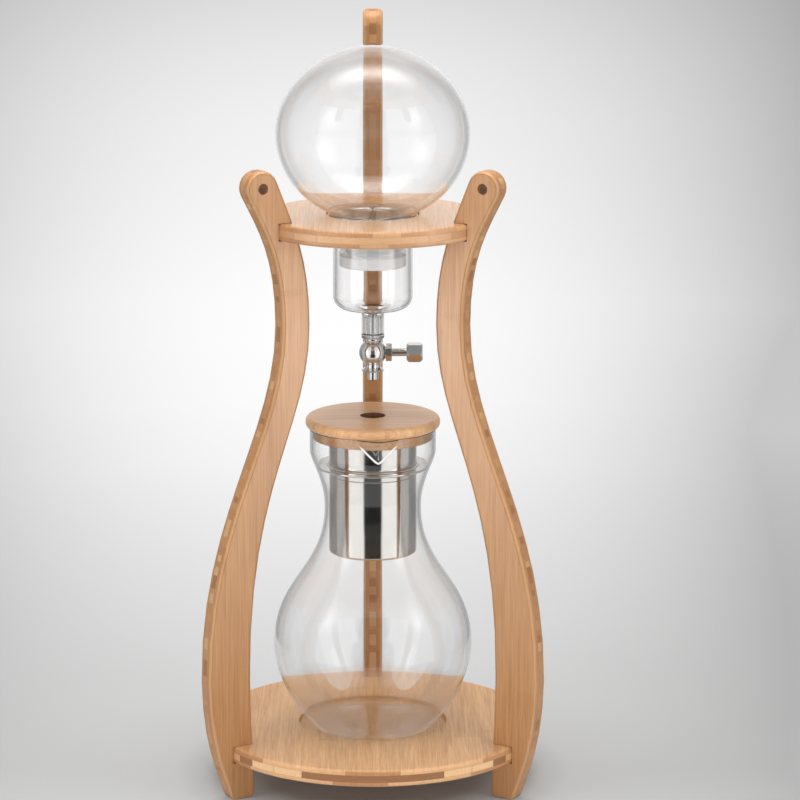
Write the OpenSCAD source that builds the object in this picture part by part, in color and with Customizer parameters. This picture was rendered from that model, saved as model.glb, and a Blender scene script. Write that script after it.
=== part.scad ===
// Cold drip coffee tower: three bamboo legs carry two round shelves. A globe flask stands neck down in a
// glass drip chamber, a needle valve lets the water drip through the lid into the filter of the carafe.
// Z = 0 is the floor. The view from the front looks along +Y. All sizes in millimetres.

/* [Legs] */
// Thickness of a leg board
leg_t = 15; // [12:0.5:18]
// Rounding of the long edges of a leg
leg_edge_r = 3; // [2:0.25:4]
// How far the inner edge of a foot lies inside the lower shelf's rim
foot_in = 18.2; // [16:0.2:22]
// How far the outer edge of a foot lies outside that rim
foot_out = 2.3; // [-1:0.1:6]
// Rounding of the corners of a foot
foot_fillet = 5; // [4:0.5:7]
// Height of the widest place of a leg, the belly
belly_z = 92; // [86:1:98]
// How far the belly's inner edge lies inside the lower shelf's rim
belly_in = 15.2; // [13:0.2:17]
// How far the belly's outer edge lies outside that rim
belly_out = 19.3; // [17:0.1:22]
// Height of the slimmest place of a leg, the waist
waist_z = 351; // [344:1:356]
// How far the waist's inner edge lies inside the upper shelf's rim
waist_in = 26.2; // [24:0.2:28]
// How far the waist's outer edge lies inside that rim
waist_out = 3.7; // [0:0.1:5.5]
// Height of a front leg
front_leg_h = 466; // [462:1:472]
// Height of the back leg, which stands up behind the globe
back_leg_h = 566; // [540:2:590]
// Radius of the rounded head of a leg
head_r = 12.8; // [12:0.2:14]
// How far the centre of a head lies outside the upper shelf's rim
head_out = 12.2; // [10.8:0.2:15]
// Diameter of the hole through a head
leg_hole_d = 8; // [5:0.5:10]

/* [Shelves] */
// Diameter of the upper shelf
upper_d = 164.4; // [161:0.4:167]
// Height of the upper shelf's top face
upper_top_z = 427; // [424:1:431]
// Diameter of the lower shelf
lower_d = 244.4; // [238:0.4:248]
// Height of the lower shelf's top face
lower_top_z = 41.5; // [36:0.5:46]
// Thickness of both shelves
shelf_t = 12.5; // [11:0.5:14]
// Rounding of the shelves' rims
shelf_edge_r = 2.5; // [1.5:0.25:4]
// Play of a shelf's rim in a leg's notch, end and faces
notch_play = 0.25; // [0.1:0.05:0.4]
// Diameter of the round recess that the carafe stands in
recess_d = 111; // [108:1:114]
// Depth of that recess
recess_depth = 3; // [2:0.5:4]
// Diameter of the shelf dowels
dowel_d = 6; // [4:0.5:7]
// Length of a shelf dowel
dowel_len = 20; // [16:1:24]
// Length of a dowel inside the leg
dowel_in_leg = 6; // [4:0.5:7]
// Play of a dowel in its holes, on the radius
dowel_play = 0.1; // [0.05:0.05:0.2]

/* [Globe] */
// Diameter of the globe flask
globe_d = 141.5; // [134:0.5:144]
// Height of the globe, if it had no neck
globe_h = 129; // [122:1:134]
// Wall of the glass, for every glass piece
glass_t = 1.8; // [1.6:0.1:2.2]
// Outer diameter of the globe's neck
neck_d = 40; // [38:0.5:41]
// How far the neck's lip stands out
lip_out = 1.5; // [1:0.1:1.8]
// Length from the chamber's seat down to the end of the neck
neck_len = 33; // [28:0.5:36]

/* [Cap] */
// Wall of the white cap's skirt
cap_t = 2.5; // [2:0.1:3]
// Height of the cap
cap_h = 20; // [16:0.5:22]
// Height of the thinner lip at the cap's open end
cap_lip_h = 8; // [5:0.5:10]
// Number of small vent holes under that lip
cap_vents = 3; // [2:1:6]
// Diameter of a vent hole
cap_vent_d = 1.8; // [1:0.2:2.4]
// Thickness of the cap's floor
cap_floor = 2.5; // [2:0.1:3]
// Play of the cap's skirt round the lip, on the radius
cap_play = 0.3; // [0.2:0.05:0.4]
// Thickness of the sealing ring in the cap
cap_ring_t = 2; // [1.5:0.1:2.5]
// Diameter of the riser tube that lets air into the globe
riser_d = 4.8; // [4:0.2:6]
// Bore of the riser tube
riser_bore = 3; // [2:0.2:3.4]
// Length of the riser tube
riser_len = 45; // [38:1:48]
// Play of the riser tube in the cap's floor, on the radius
riser_play = 0.05; // [0.03:0.01:0.09]
// Number of drip holes round the riser tube
cap_holes = 4; // [3:1:6]
// Diameter of a drip hole
cap_hole_d = 3; // [2:0.5:4]

/* [Drip chamber] */
// Outer diameter of the drip chamber
chamber_d = 58.4; // [57:0.2:59]
// Play of the chamber in the upper shelf's hole, on the radius
chamber_play = 0.8; // [0.5:0.1:1.2]
// Width of the chamber's collar outside its wall
collar_w = 4; // [3:0.25:5]
// Thickness of the collar, let into the shelf
collar_t = 3; // [2.5:0.25:4]
// Height of the chamber's body below the shelf's top face
chamber_h = 72; // [66:1:76]
// Radius of the chamber's lower corner
chamber_corner_r = 10; // [8:0.5:12]
// Outer diameter of the chamber's neck
spigot_d = 16.4; // [15.6:0.2:17]
// Length of that neck
spigot_len = 17; // [15:0.5:19]

/* [Valve] */
// Diameter of the stopper's flange
stopper_flange_d = 16.8; // [16:0.2:18]
// Thickness of the stopper's flange
stopper_flange_t = 3.6; // [3:0.2:4]
// Length of the stopper inside the chamber's neck
stopper_in = 13; // [10:0.5:14]
// Diameter of the valve's inlet pipe
inlet_d = 7; // [6:0.2:8]
// Diameter of the valve's ball
ball_d = 20.2; // [19.4:0.2:21]
// Height of the ball between its two necks
ball_h = 16; // [15:0.5:17]
// Diameter of the neck above and below the ball
ball_neck_d = 12.6; // [12:0.2:13.6]
// Length of each of those necks
ball_neck_len = 2.8; // [2:0.2:3.4]
// Diameter of the flared collar above the upper neck, under the stopper
valve_collar_d = 14.2; // [13:0.2:15]
// Bore that the water takes through the valve
water_bore = 3.6; // [3:0.1:4]
// Diameter of the boss that the gland nut screws on
boss_d = 9.2; // [8.6:0.2:9.6]
// Distance from the valve's axis to the end of the boss
boss_end = 12; // [11.5:0.25:12.5]
// Thickness of the gland nut outside the boss
gland_t = 2; // [1.5:0.1:2.4]
// Height of the gland nut across its corners
gland_d = 14; // [13:0.2:15]
// Diameter of the stem
stem_d = 5.8; // [5:0.1:6]
// Length of the stem that shows between gland nut and knob
stem_out = 10.8; // [8:0.2:14]
// Diameter of the needle at the stem's tip
needle_d = 4.4; // [4.2:0.1:4.6]
// Running play of stem and O-ring, on the radius
run_play = 0.05; // [0.03:0.01:0.09]
// Thickness of the O-ring's cord
oring_t = 1.2; // [1:0.1:1.3]
// Height of the knob across its corners
knob_d = 15; // [14:0.2:17]
// Length of the knob
knob_len = 11.8; // [10:0.2:13]
// Turn of the closed knob: one of its six flats then faces up to the front
knob_rest = 34.5; // [0:0.5:60]
// Chamfer of the knob's two ends
knob_chamfer = 1.8; // [1:0.1:2.4]
// Diameter of the grub screw in the knob
grub_d = 3; // [2.5:0.5:4]

/* [Outlet] */
// Diameter of the flared skirt under the valve
skirt_d = 16.8; // [16:0.2:18]
// Height of the flared skirt
skirt_h = 3; // [2.4:0.2:4]
// Outer diameter of the drip spout
spout_d = 8.4; // [7.6:0.2:9]
// Bore of the drip spout
spout_bore = 4; // [3:0.2:4.6]
// Length of the drip spout below the valve's lower neck
spout_len = 9.6; // [8:0.2:11]

/* [Lid] */
// Diameter of the lid's disc
lid_d = 99.4; // [97:0.2:102]
// Thickness of the lid's disc
lid_t = 8.4; // [7:0.2:9]
// Thickness of the lid's plug
plug_t = 8.2; // [7:0.2:9]
// Play of the plug in the carafe's mouth, on the radius
plug_play = 0.5; // [0.4:0.1:0.8]
// Diameter of the drip hole through the lid
lid_hole_d = 18.6; // [16:0.2:21]

/* [Filter] */
// Outer diameter of the filter cup
cup_d = 64.8; // [62:0.2:66]
// Wall of the filter cup
cup_t = 0.8; // [0.7:0.1:1]
// Height of the cup below its flange
cup_below = 67; // [60:0.5:72]
// Outer diameter of the flange
flange_d = 82; // [80:0.2:84]
// Sheet thickness of the flange
flange_t = 1.2; // [1:0.1:1.5]
// Width of the ledge inside the cup that the shower screen lies on
ledge_w = 1.6; // [1.2:0.1:2]
// Thickness of both perforated screens
screen_t = 0.8; // [0.6:0.1:1]
// Play of the screens in the cup, on the radius
screen_play = 0.2; // [0.1:0.05:0.4]
// Diameter of a hole in the screens
screen_hole_d = 2; // [1.6:0.1:2.2]
// Rings of holes in the base screen
base_rings = 5; // [3:1:5]
// Rings of holes in the shower screen
shower_rings = 3; // [2:1:4]

/* [Carafe] */
// Outer diameter of the carafe's mouth
mouth_d = 93.2; // [92:0.2:95]
// Height of the straight mouth
mouth_h = 17; // [14:0.5:20]
// Outer diameter of the carafe's throat
throat_d = 71.4; // [71:0.2:73]
// Height of the throat above the carafe's base
throat_h = 169; // [166:0.5:172]
// Outer diameter of the carafe's body
body_d = 147.6; // [144:0.4:149]
// Height of the body's widest place above the base
body_h = 64; // [62:0.5:67]
// Height of the whole carafe
carafe_h = 229; // [226:0.5:231]
// Diameter of the carafe's flat base
base_d = 84; // [80:1:88]
// How far the pour spout stands out of the mouth
pour_out = 6.5; // [4:0.5:8]
// Half the width of the pour spout
pour_half_w = 17; // [12:1:20]
// Depth of the pour spout's crease below the rim
pour_h = 17; // [12:0.5:18]
// Turn of the pour spout to the right of straight ahead
pour_turn = 5; // [-10:1:10]

/* [Hidden] */
eps = 0.01;
bamboo = "burlywood";
bamboo_edge = "peru";
clear = [0.85, 0.92, 0.95, 0.45];
steel = "silver";
// The box round the whole tower is centred on Y = 0, so the tower's axis lies a little in front of it
axis_y = -belly_out / 2;
LEG_TURN = [210, 330, 90];
// The legs' radii from the tower's axis follow from the shelves that they hold
foot_in_r = lower_d / 2 - foot_in;
foot_out_r = lower_d / 2 + foot_out;
belly_in_r = lower_d / 2 - belly_in;
belly_out_r = lower_d / 2 + belly_out;
waist_in_r = upper_d / 2 - waist_in;
waist_out_r = upper_d / 2 - waist_out;
head_at_r = upper_d / 2 + head_out;

// ---- outline helpers -------------------------------------------------------------------------------
// Points of a circular arc from angle a0 to a1, in n steps
function arc(c, r, a0, a1, n) = [for (i = [0:n]) let (a = a0 + (a1 - a0) * i / n) c + r * [cos(a), sin(a)]];
// Points of a cubic curve with end points p0, p3 and handles p1, p2; its first point is left out
function bez(p0, p1, p2, p3, n) =
    [for (i = [1:n]) let (t = i / n, u = 1 - t) u*u*u * p0 + 3*u*u*t * p1 + 3*u*t*t * p2 + t*t*t * p3];
// A list in reverse order
function flip(p) = [for (i = [len(p) - 1:-1:0]) p[i]];
// Unit normal to the left of the closed outline p at point i
function side(p, i) = let (m = len(p), d = p[(i + 1) % m] - p[(i + m - 1) % m]) [-d[1], d[0]] / norm(d);
// The closed outline p moved inwards by d; p runs anticlockwise
function inset(p, d) = [for (i = [0:len(p) - 1]) p[i] + d * side(p, i)];

// ---- legs ------------------------------------------------------------------------------------------
// Outline of a leg in [radius, height], anticlockwise from under the foot. The S runs foot, belly, waist,
// head, with as many points up the outer edge as down the inner one. Where the back leg is taller, a
// straight stretch lies between the bent neck and the head.
lean_out = 27.5;
lean_in = 22;
function leg_outline(h) =
    let (dz = h - front_leg_h,
         c0 = [head_at_r, front_leg_h - head_r],
         c = c0 + [0, dz],
         w_in = [waist_in_r, waist_z], w_out = [waist_out_r, waist_z],
         b_in = [belly_in_r, belly_z], b_out = [belly_out_r, belly_z],
         // where the neck meets the head, or the straight stretch below a raised head
         t_out = dz > 0 ? c0 + [head_r, 0] : c0 + head_r * [cos(lean_out), -sin(lean_out)],
         t_in = dz > 0 ? c0 + [-head_r, 12] : c0 + head_r * [-cos(lean_in), sin(lean_in)],
         d_out = dz > 0 ? [0, 1] : [sin(lean_out), cos(lean_out)],
         d_in = dz > 0 ? [0, 1] : [sin(lean_in), cos(lean_in)],
         f_in = [foot_in_r, foot_fillet], f_out = [foot_out_r, foot_fillet])
    concat(
        arc([foot_out_r - foot_fillet, foot_fillet], foot_fillet, 270, 350, 4),
        bez(f_out + [0, 1], f_out + [5, 12], b_out - [0, 45], b_out, 6),
        bez(b_out, b_out + [0, 123], w_out - [0, 80], w_out, 12),
        bez(w_out, w_out + [0, 51], t_out - 30 * d_out, t_out, 8),
        dz > 0 ? arc(c, head_r, 0, 180, 12)
               : [for (i = [1:11]) c + head_r * [cos(-lean_out + (180 - lean_in + lean_out) * i / 12),
                                               sin(-lean_out + (180 - lean_in + lean_out) * i / 12)]],
        [t_in],
        bez(t_in, t_in - 40 * d_in, w_in + [0, 50], w_in, 8),
        bez(w_in, w_in - [0, 77], b_in + [0, 150], b_in, 12),
        bez(b_in, b_in - [0, 40], f_in + [0, 25], f_in + [0, 2], 5),
        arc([foot_in_r + foot_fillet, foot_fillet], foot_fillet, 180, 270, 4));

// A board of the given outline, its long edges rounded in three steps; x is the radius, z the height.
// Each face is filled by strips between the points that stand opposite each other on the two edges.
module rounded_board(outline, t, r) {
    steps = [0, 30, 60, 90];
    rings = concat([for (a = steps) [-t / 2 + r * (1 - cos(a)), r * (1 - sin(a))]],
                   [for (a = steps) [t / 2 - r * (1 - cos(90 - a)), r * (1 - sin(90 - a))]]);
    m = len(outline);
    n = len(rings);
    points = [for (q = rings) for (p = inset(outline, q[1])) [p[0], q[0], p[1]]];
    bands = [for (k = [0:n - 2]) for (i = [0:m - 1])
        let (a = k * m + i, b = k * m + (i + 1) % m) each [[a, b, b + m], [a, b + m, a + m]]];
    strips = [for (i = [0:floor((m - 1) / 2) - 1]) each
        concat([[i, i + 1, m - 1 - i]], i + 1 < m - 2 - i ? [[i + 1, m - 2 - i, m - 1 - i]] : [])];
    back = (n - 1) * m;
    polyhedron(points, concat(bands, [for (q = strips) [q[2], q[1], q[0]]],
                              [for (q = strips) [q[0] + back, q[1] + back, q[2] + back]]), convexity = 6);
}

// Where a dowel lies: from inside the shelf's rim into the leg, along the leg's radius
module dowel_at(rim_d, z, play) {
    translate([rim_d / 2 + notch_play + dowel_in_leg + play, 0, z]) rotate([0, -90, 0])
        cylinder(d = dowel_d + 2 * play, h = dowel_len + 2 * play, $fn = 48);
}

module leg(k, h) {
    translate([0, axis_y, 0]) rotate([0, 0, LEG_TURN[k]]) difference() {
        rounded_board(leg_outline(h), leg_t, leg_edge_r);
        translate([0, 0, upper_top_z - shelf_t - notch_play])
            cylinder(d = upper_d + 2 * notch_play, h = shelf_t + 2 * notch_play, $fn = 96);
        translate([0, 0, lower_top_z - shelf_t - notch_play])
            cylinder(d = lower_d + 2 * notch_play, h = shelf_t + 2 * notch_play, $fn = 96);
        dowel_at(upper_d, upper_top_z - shelf_t / 2, dowel_play);
        dowel_at(lower_d, lower_top_z - shelf_t / 2, dowel_play);
        translate([head_at_r, leg_t, h - head_r]) rotate([90, 0, 0])
            cylinder(d = leg_hole_d, h = 2 * leg_t, $fn = 48);
    }
}
module leg_left() { color(bamboo) leg(0, front_leg_h); }
module leg_right() { color(bamboo) leg(1, front_leg_h); }
module leg_back() { color(bamboo) leg(2, back_leg_h); }

// ---- shelves ---------------------------------------------------------------------------------------
// A round board with rounded rim, its top at z = 0
module round_board(d, t, r) {
    rotate_extrude($fn = 120) polygon(concat([[0, -t]],
        arc([d / 2 - r, r - t], r, 270, 360, 4), arc([d / 2 - r, -r], r, 0, 90, 4), [[0, 0]]));
}
module dowel_holes(rim_d) { for (a = LEG_TURN) rotate([0, 0, a]) dowel_at(rim_d, -shelf_t / 2, dowel_play); }
hole_d = chamber_d + 2 * chamber_play;
seat_d = chamber_d + 2 * collar_w + 2 * chamber_play;
module upper_shelf() {
    color(bamboo) translate([0, axis_y, upper_top_z]) difference() {
        round_board(upper_d, shelf_t, shelf_edge_r);
        translate([0, 0, -shelf_t - 1]) cylinder(d = hole_d, h = shelf_t + 2, $fn = 96);
        translate([0, 0, -collar_t]) cylinder(d = seat_d, h = collar_t + 1, $fn = 96);
        dowel_holes(upper_d);
    }
}
module lower_shelf() {
    color(bamboo) translate([0, axis_y, lower_top_z]) difference() {
        round_board(lower_d, shelf_t, shelf_edge_r);
        translate([0, 0, -recess_depth]) cylinder(d = recess_d, h = recess_depth + 1, $fn = 96);
        dowel_holes(lower_d);
    }
}
module dowels(rim_d, z) {
    color(bamboo_edge) translate([0, axis_y, z]) for (a = LEG_TURN) rotate([0, 0, a]) dowel_at(rim_d, -shelf_t / 2, 0);
}
module upper_dowels() { dowels(upper_d, upper_top_z); }
module lower_dowels() { dowels(lower_d, lower_top_z); }

// ---- globe, its cap and riser tube -----------------------------------------------------------------
// The globe is an ellipse turned round. It lies on a cone inside the chamber's collar at seat_r.
ga = globe_d / 2;
gb = globe_h / 2;
seat_r = chamber_d / 2 - glass_t / 2;
seat_gap = 0.3;
seat_z = upper_top_z - 0.8;
function dome(a, b, r) = b * sqrt(1 - r * r / (a * a));
globe_z = seat_z + seat_gap + dome(ga, gb, seat_r);
seat_slope = gb * seat_r / (ga * ga * sqrt(1 - seat_r * seat_r / (ga * ga)));
// Ellipse points from the pole down to radius r on the lower side
function shell(a, b, r, n) = let (a1 = 180 - asin(r / a))
    [for (i = [0:n]) let (q = a1 * i / n) [a * sin(q), globe_z + b * cos(q)]];
neck_r = neck_d / 2;
neck_end = seat_z - neck_len;
module globe() {
    ro = neck_r;
    ri = neck_r - glass_t;
    root = ro + 4;                       // where the globe's curve turns into the neck
    z_root = globe_z - dome(ga, gb, root);
    t = glass_t;
    z_in = globe_z - dome(ga - t, gb - t, root + 0.5);
    lip = ro + lip_out;
    color(clear) translate([0, axis_y, 0]) rotate_extrude($fn = 120) polygon(concat(
        shell(ga, gb, root, 40),
        bez([root, z_root], [root - 2, z_root - 0.8], [ro, z_root - 2], [ro, z_root - 6], 4),
        [[ro, neck_end + 4], [lip, neck_end + 2.6]],
        [[lip, neck_end + 1], [lip - 1, neck_end], [ri + 0.6, neck_end], [ri, neck_end + 0.6]],
        [[ri, z_root - 4]],
        bez([ri, z_root - 4], [ri, z_root], [root - 1.5, z_in - 0.6], [root + 0.5, z_in], 4),
        [for (p = flip(shell(ga - t, gb - t, root + 0.5, 40))) if (p[0] < root || p[1] > z_in + 0.01) p]));
}
cap_r = neck_r + lip_out + cap_play + cap_t;
cap_z = neck_end - 0.1 - cap_ring_t - cap_floor;
vent_turn = 98.5;                        // the first vent faces the back leg
drip_ring_r = (riser_d / 2 + neck_r - glass_t - 3) / 2 + 1;
module globe_cap() {
    inner = cap_r - cap_t;
    color("whitesmoke") translate([0, axis_y, cap_z]) difference() {
        rotate_extrude($fn = 96) polygon(concat([[0, 0]], arc([cap_r - 1.5, 1.5], 1.5, 270, 360, 3),
            [[cap_r, cap_h - cap_lip_h - 0.5], [cap_r - 0.8, cap_h - cap_lip_h + 0.3], [cap_r - 0.8, cap_h - 0.4], [cap_r - 1.2, cap_h], [inner, cap_h],
             [inner, cap_floor], [0, cap_floor]]));
        translate([0, 0, -1]) cylinder(d = riser_d + 2 * riser_play, h = cap_floor + 2, $fn = 48);
        for (i = [1:cap_holes]) rotate([0, 0, 360 * (i - 0.5) / cap_holes]) translate([drip_ring_r, 0, -1])
            cylinder(d = cap_hole_d, h = cap_floor + 2, $fn = 32);
        for (i = [0:cap_vents - 1]) rotate([0, 0, vent_turn + 360 * i / cap_vents])
            translate([inner - 1, 0, cap_h - cap_lip_h - cap_vent_d / 2 - 0.6]) rotate([0, 90, 0])
                cylinder(d = cap_vent_d, h = cap_t + 2, $fn = 24);
    }
}
module cap_ring() {
    color("gainsboro") translate([0, axis_y, cap_z + cap_floor]) difference() {
        cylinder(r = cap_r - cap_t - 0.05, h = cap_ring_t, $fn = 96);
        translate([0, 0, -1]) cylinder(r = neck_r - glass_t - 1, h = cap_ring_t + 2, $fn = 96);
    }
}
module riser_tube() {
    color(clear) translate([0, axis_y, cap_z - 1.5]) difference() {
        cylinder(d = riser_d, h = riser_len, $fn = 48);
        translate([0, 0, -1]) cylinder(d = riser_bore, h = riser_len + 2, $fn = 48);
    }
}

// ---- drip chamber ----------------------------------------------------------------------------------
chamber_bottom = upper_top_z - chamber_h;
spigot_end = chamber_bottom - spigot_len;
spigot_bore_r = spigot_d / 2 - glass_t;
module drip_chamber() {
    R = chamber_d / 2;
    Ri = R - glass_t;
    k = chamber_corner_r;
    ro = spigot_d / 2;
    ri = spigot_bore_r;
    fall = 1.5;                          // the floor falls a little towards the neck
    zb = chamber_bottom;
    top = upper_top_z;
    color(clear) translate([0, axis_y, 0]) rotate_extrude($fn = 120) polygon(concat(
        [[ri, spigot_end], [ro - 0.5, spigot_end], [ro, spigot_end + 0.5]],
        bez([ro, zb - 3.5], [ro, zb - 1.5], [ro + 0.5, zb - 0.3], [ro + 3, zb], 4),
        arc([R - k, zb + fall + k], k, 278, 360, 8),
        [[R, top - collar_t], [R + collar_w - 0.6, top - collar_t], [R + collar_w, top - collar_t + 0.6],
         [R + collar_w, top - 0.6], [R + collar_w - 0.6, top]],
        // seat of the globe: a cone that lies along the globe's curve
        [[seat_r + 1.6, top], [seat_r + 1, seat_z + seat_slope], [seat_r - 1, seat_z - seat_slope],
         [Ri, seat_z - seat_slope - 1]],
        arc([R - k, zb + fall + k], k - glass_t, 360, 278, 8),
        bez([ro + 3, zb + glass_t], [ro, zb + glass_t - 0.5], [ri, zb], [ri, zb - 5], 5)));
}

// ---- valve -----------------------------------------------------------------------------------------
stopper_z = spigot_end - stopper_flange_t;
valve_z = stopper_z - ball_neck_len - ball_h / 2;
module at_valve() { translate([0, axis_y, valve_z]) children(); }
module valve_stopper() {
    r = spigot_bore_r - 0.05;
    color("lightgray") translate([0, axis_y, 0]) difference() {
        rotate_extrude($fn = 64) polygon([[0, stopper_z], [stopper_flange_d / 2 - 0.6, stopper_z],
            [stopper_flange_d / 2, stopper_z + 0.6], [stopper_flange_d / 2, spigot_end - 0.6],
            [stopper_flange_d / 2 - 0.6, spigot_end], [r, spigot_end], [r, spigot_end + stopper_in - 1],
            [r - 0.8, spigot_end + stopper_in], [0, spigot_end + stopper_in]]);
        translate([0, 0, stopper_z - 1]) cylinder(d = inlet_d + 0.1, h = stopper_flange_t + stopper_in + 2, $fn = 48);
    }
}
inlet_len = stopper_flange_t + stopper_in + 1;
boss_bore_r = stem_d / 2 + oring_t / 2;  // the O-ring seals in this bore
needle_in = water_bore / 2 + 1;          // how far the needle reaches past the valve's axis
spout_root = 2.5;                        // how deep the spout is pressed into the valve
module valve_body() {
    z1 = ball_h / 2;
    z2 = z1 + ball_neck_len;
    color(steel) at_valve() difference() {
        union() {
            // ball, as an arc between its two necks
            rotate_extrude($fn = 96) polygon(concat([[0, -z2], [ball_neck_d / 2 - 0.6, -z2], [ball_neck_d / 2 - 0.6, -z1 - 0.8]],
                ball_arc(z1, 14),
                [[valve_collar_d / 2, z2 - 0.9], [valve_collar_d / 2, z2 - 0.3], [valve_collar_d / 2 - 0.3, z2], [inlet_d / 2, z2], [inlet_d / 2, z2 + inlet_len], [0, z2 + inlet_len]]));
            rotate([0, 90, 0]) cylinder(d = boss_d, h = boss_end, $fn = 64);
        }
        translate([0, 0, -z2 - 1]) cylinder(d = water_bore, h = 2 * z2 + inlet_len + 2, $fn = 48);
        translate([0, 0, -z2 - 1]) cylinder(d = spout_d - 2.4 + 0.1, h = spout_root + 1, $fn = 48);
        // bore of the needle, then the wider bore of the O-ring
        translate([-needle_in - 0.3, 0, 0]) rotate([0, 90, 0]) cylinder(r = needle_d / 2 + run_play, h = boss_end + needle_in + 2, $fn = 48);
        translate([oring_x - 2.2, 0, 0]) rotate([0, 90, 0]) cylinder(r = boss_bore_r, h = boss_end, $fn = 48);
    }
}
// Half outline of the ball: the arc through both necks and the widest place
function ball_arc(z1, n) = let (h = ball_neck_d / 2, s = ball_d / 2 - h, R = (z1 * z1 + s * s) / (2 * s), a = asin(z1 / R))
    [for (i = [0:n]) let (q = -a + 2 * a * i / n) [ball_d / 2 - R + R * cos(q), R * sin(q)]];
oring_x = 7.5;
gland_x = boss_end - 2.5;
module gland_nut() {
    color(steel) at_valve() rotate([0, 90, 0]) difference() {
        translate([0, 0, gland_x]) intersection() {
            rotate([0, 0, 11]) cylinder(d = gland_d, h = 2.5 + gland_t, $fn = 8);
            rotate_extrude($fn = 64) polygon([[0, 0], [gland_d / 2 - 0.5, 0], [gland_d / 2, 0.5],
                [gland_d / 2, 2 + gland_t], [gland_d / 2 - 0.9, 2.5 + gland_t], [0, 2.5 + gland_t]]);
        }
        translate([0, 0, gland_x - 1]) cylinder(d = boss_d + 0.1, h = 3.5, $fn = 64);
        cylinder(r = stem_d / 2 + run_play, h = 30, $fn = 48);
    }
}
module stem_oring() {
    color("dimgray") at_valve() rotate([0, 90, 0]) translate([0, 0, oring_x]) rotate_extrude($fn = 48)
        translate([boss_bore_r - run_play - oring_t / 2, 0]) circle(d = oring_t, $fn = 24);
}
knob_x = boss_end + gland_t + stem_out;
knob_grip = 7;                           // depth of the stem in the knob
module valve_stem() {
    r = stem_d / 2;
    groove = boss_bore_r - run_play - oring_t - 0.1;
    tip = needle_d / 2;
    g = oring_t / 2 + 0.25;
    color(steel) at_valve() rotate([0, 90, 0]) difference() {
        rotate_extrude($fn = 64) polygon([[0, -needle_in], [tip - 1.2, -needle_in], [tip, -needle_in + 1.6],
            [tip, oring_x - 2], [r - 0.05, oring_x - 2], [r - 0.05, oring_x - g], [groove, oring_x - g],
            [groove, oring_x + g], [r - 0.05, oring_x + g], [r, oring_x + g + 0.3], [r, knob_x + knob_grip], [0, knob_x + knob_grip]]);
        // flat for the grub screw, which sits under the knob at rest
        translate([r - 0.4, -r, knob_x + knob_grip / 2 - 2]) cube([1.4, 2 * r, 4]);
    }
}
module valve_knob() {
    color(steel) at_valve() rotate([0, 90, 0]) difference() {
        translate([0, 0, knob_x]) intersection() {
            rotate([0, 0, knob_rest]) cylinder(d = knob_d, h = knob_len, $fn = 6);
            rotate_extrude($fn = 64) polygon([[0, 0], [knob_d / 2 - knob_chamfer, 0], [knob_d / 2, knob_chamfer],
                [knob_d / 2, knob_len - knob_chamfer], [knob_d / 2 - knob_chamfer, knob_len], [0, knob_len]]);
        }
        translate([0, 0, knob_x - 1]) cylinder(d = stem_d + 0.06, h = knob_grip + 1.05, $fn = 48);
        translate([0, 0, knob_x + knob_grip / 2]) rotate([0, 90, 0]) cylinder(d = grub_d + 0.1, h = knob_d, $fn = 32);
    }
}
module knob_screw() {
    from = stem_d / 2 - 0.4;
    len = knob_d / 2 * cos(30) - 0.7 - from;
    color("dimgray") at_valve() rotate([0, 90, 0]) translate([0, 0, knob_x + knob_grip / 2]) rotate([0, 90, 0])
        translate([0, 0, stem_d / 2 - 0.35]) difference() {
            cylinder(d = grub_d, h = len, $fn = 32);
            translate([0, 0, len - 1.6]) cylinder(d = grub_d * 0.55, h = 2, $fn = 6);
        }
}

// ---- outlet ----------------------------------------------------------------------------------------
outlet_z = valve_z - ball_h / 2 - ball_neck_len;
module outlet_skirt() {
    h = skirt_h;
    n = ball_neck_d / 2 - 0.6;
    color(steel) translate([0, axis_y, outlet_z]) difference() {
        rotate_extrude($fn = 64) polygon([[0, 0], [n, 0], [skirt_d / 2, 0.6 - h], [skirt_d / 2 - 0.3, -h], [spout_d / 2 + 2, -h], [spout_d / 2, 1 - h], [0, 1 - h]]);
        translate([0, 0, -h - 1]) cylinder(d = spout_d + 0.1, h = h + 2, $fn = 48);
    }
}
module drip_spout() {
    r = spout_d / 2;
    root = r - 1.2;
    color(steel) translate([0, axis_y, outlet_z]) difference() {
        rotate_extrude($fn = 64) polygon([[0, spout_root - 0.1], [root, spout_root - 0.1], [root, -0.05], [r, -0.05], [r, -spout_len + 0.5],
            [r - 0.5, -spout_len], [0, -spout_len]]);
        translate([0, 0, -spout_len - 1]) cylinder(d = spout_bore, h = spout_len + spout_root + 2, $fn = 48);
    }
}

// ---- carafe ----------------------------------------------------------------------------------------
carafe_z = lower_top_z - recess_depth + 0.05;
rim_z = carafe_z + carafe_h;
mouth_r = mouth_d / 2;
// Outer line of the carafe from its base to its rim, in [radius, height above the base]. The inner line
// is the same line for a body that is thinner all round.
rise = 22;                               // how long the curve keeps the throat's, and the mouth's, direction
drop = 8;
function carafe_line(w, n) = let (m = mouth_r - w, th = throat_d / 2 - w, b = body_d / 2 - w, f = base_d / 2 - w, z0 = w * 1.4,
        s = carafe_h - mouth_h)
    concat([[f - 4, z0]],
        bez([f, z0], [f + 7, z0 + 1], [b, body_h - 30], [b, body_h], 2 * n),
        bez([b, body_h], [b, body_h + 47], [th, throat_h - 48], [th, throat_h], 3 * n),
        bez([th, throat_h], [th, throat_h + rise], [m, s - drop], [m, s], 2 * n),
        [[m, carafe_h]]);
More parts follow.
